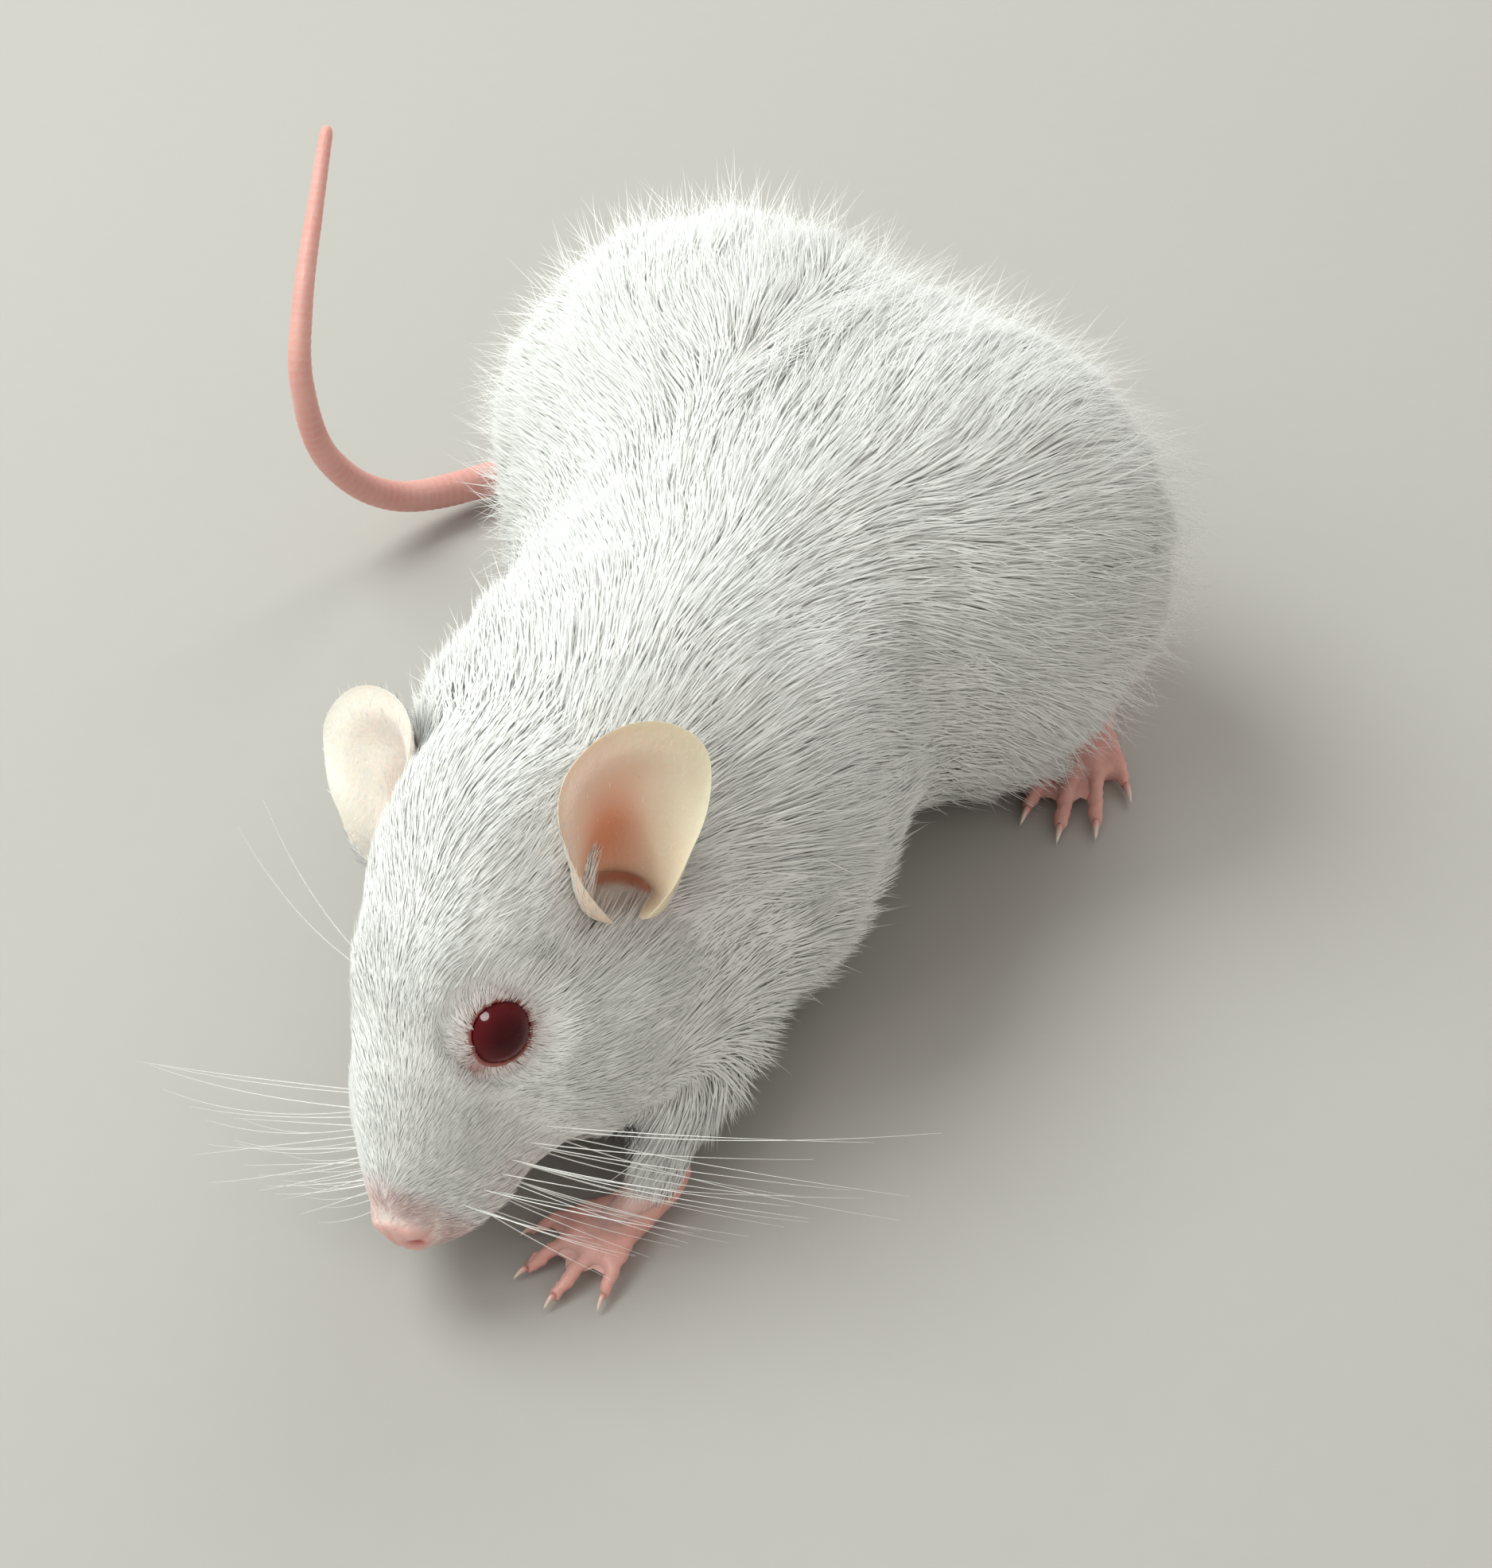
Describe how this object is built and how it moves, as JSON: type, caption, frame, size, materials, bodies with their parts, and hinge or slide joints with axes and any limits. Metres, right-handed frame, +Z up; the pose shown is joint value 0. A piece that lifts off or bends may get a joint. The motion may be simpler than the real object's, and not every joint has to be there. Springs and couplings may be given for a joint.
{
  "type": "white pet rat",
  "caption": "Life-size model of a short-haired white rat with red eyes, crouched flat on all fours with its nose down and its tail curled round one side.",
  "frame": {"origin": "on the floor under the middle of the belly", "axes": "+Z up from the floor, -Y the way the rat faces, +X to its left"},
  "size_m": [0.1103, 0.1375, 0.0537],
  "materials": {
    "coat": "short plush white fur",
    "bare_skin": "bare pink skin, ringed on the tail",
    "ear_skin": "thin cream and pink skin with a fine down",
    "nose_skin": "moist pink skin",
    "eye": "wet ruby red"
  },
  "bodies": {
    "root": {"lower_jaw": "coat", "head": "coat", "neck": "coat", "shoulder_left": "coat", "shoulder_right": "coat", "chest": "coat", "belly": "coat", "thigh_left": "coat", "thigh_right": "coat", "rump": "coat", "shank_left": "coat", "shank_right": "coat", "forearm_left": "coat", "forearm_right": "coat", "forepaw_left": "bare_skin", "forepaw_right": "bare_skin", "hind_foot_left": "bare_skin", "hind_foot_right": "bare_skin", "tail_1": "bare_skin", "tail_2": "bare_skin", "tail_3": "bare_skin", "tail_4": "bare_skin", "tail_5": "bare_skin", "ear_left": "ear_skin", "ear_right": "ear_skin", "nose": "nose_skin", "eye_left": "eye", "eye_right": "eye"}
  },
  "joints": []
}
